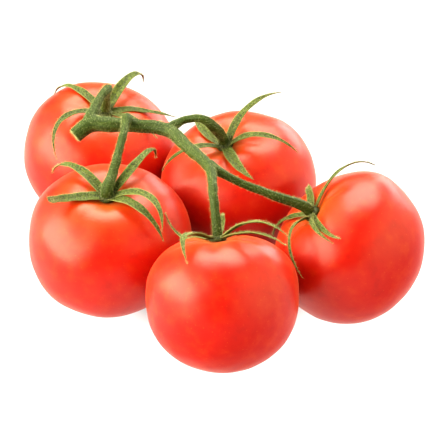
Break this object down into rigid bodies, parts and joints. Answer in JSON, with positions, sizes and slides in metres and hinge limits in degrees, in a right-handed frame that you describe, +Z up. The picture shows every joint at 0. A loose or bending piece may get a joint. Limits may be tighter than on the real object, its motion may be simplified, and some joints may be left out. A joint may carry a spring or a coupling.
{
  "type": "truss of tomatoes",
  "caption": "Truss of ripe red tomatoes lying on a surface, each with its green star-shaped calyx, all joined by one branching green stem with a cut end.",
  "frame": {"origin": "on the resting surface, under the middle of the truss's outline", "axes": "+Z up from the resting surface, +X to the right and +Y to the back as the truss is seen from its front"},
  "size_m": [0.1694, 0.1798, 0.0726],
  "materials": {
    "tomato_skin": "smooth glossy ripe skin, red with orange shoulders",
    "sepal": "matte olive green, finely hairy, paler at the edges",
    "stem": "matte green, finely ridged and hairy"
  },
  "bodies": {
    "root": {"tomato_back_left": "tomato_skin", "tomato_front_left": "tomato_skin", "tomato_front": "tomato_skin", "tomato_back": "tomato_skin", "tomato_right": "tomato_skin", "calyx_back_left": "sepal", "calyx_front_left": "sepal", "calyx_front": "sepal", "calyx_back": "sepal", "calyx_right": "sepal", "truss_stem": "stem"}
  },
  "joints": []
}
